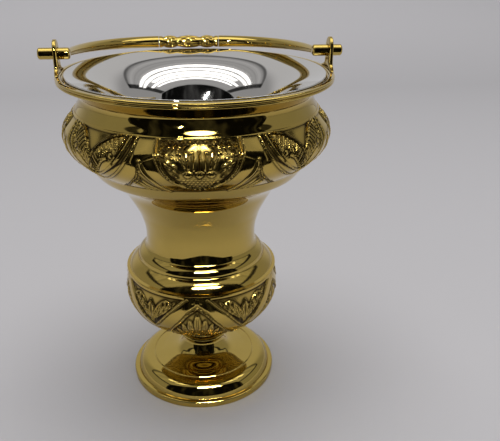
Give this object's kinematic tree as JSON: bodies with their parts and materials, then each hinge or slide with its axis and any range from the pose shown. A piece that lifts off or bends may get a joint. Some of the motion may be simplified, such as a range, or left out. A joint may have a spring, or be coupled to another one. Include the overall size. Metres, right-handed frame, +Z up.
{
  "type": "holy water pot",
  "caption": "Footed brass urn with a cast relief band, a lift-out polished liner and a swinging bail handle carried in two rim ears.",
  "frame": {"origin": "middle of the foot's underside, on the pot's axis", "axes": "+Z up along the pot's axis; the two ears lie on X; the bail is laid back towards +Y, so the front is -Y"},
  "size_m": [0.1602, 0.1497, 0.2073],
  "materials": {
    "polished_brass": "mirror polished, lacquered",
    "cast_brass": "cast relief, high points polished and hollows dark",
    "liner_plate": "mirror polished nickel plate",
    "hidden_steel": "plain machined"
  },
  "bodies": {
    "pot": {"foot": "polished_brass", "foot_washer": "hidden_steel", "foot_nut": "hidden_steel", "tie_rod": "hidden_steel", "stem_collar": "polished_brass", "bulb": "cast_brass", "bulb_washer": "hidden_steel", "bulb_nut": "hidden_steel", "neck": "polished_brass", "ornament_band": "cast_brass", "throat": "polished_brass", "rim_bead": "polished_brass", "left_ear": "polished_brass", "right_ear": "polished_brass"},
    "bail": {"left_pin": "polished_brass", "right_pin": "polished_brass", "bail_left_arm": "polished_brass", "bail_right_arm": "polished_brass", "bail_grip": "cast_brass"},
    "liner": {"liner": "liner_plate"}
  },
  "joints": [
    {"name": "bail_swing", "type": "hinge", "parent": "pot", "child": "bail", "pos_m": [0, 0, 0.20022], "axis": [1, 0, 0], "range_deg": [0, 188.6]},
    {"name": "liner_lift", "type": "slide", "parent": "pot", "child": "liner", "axis": [0, 0, 1], "range_m": [0, 0.0014]}
  ]
}
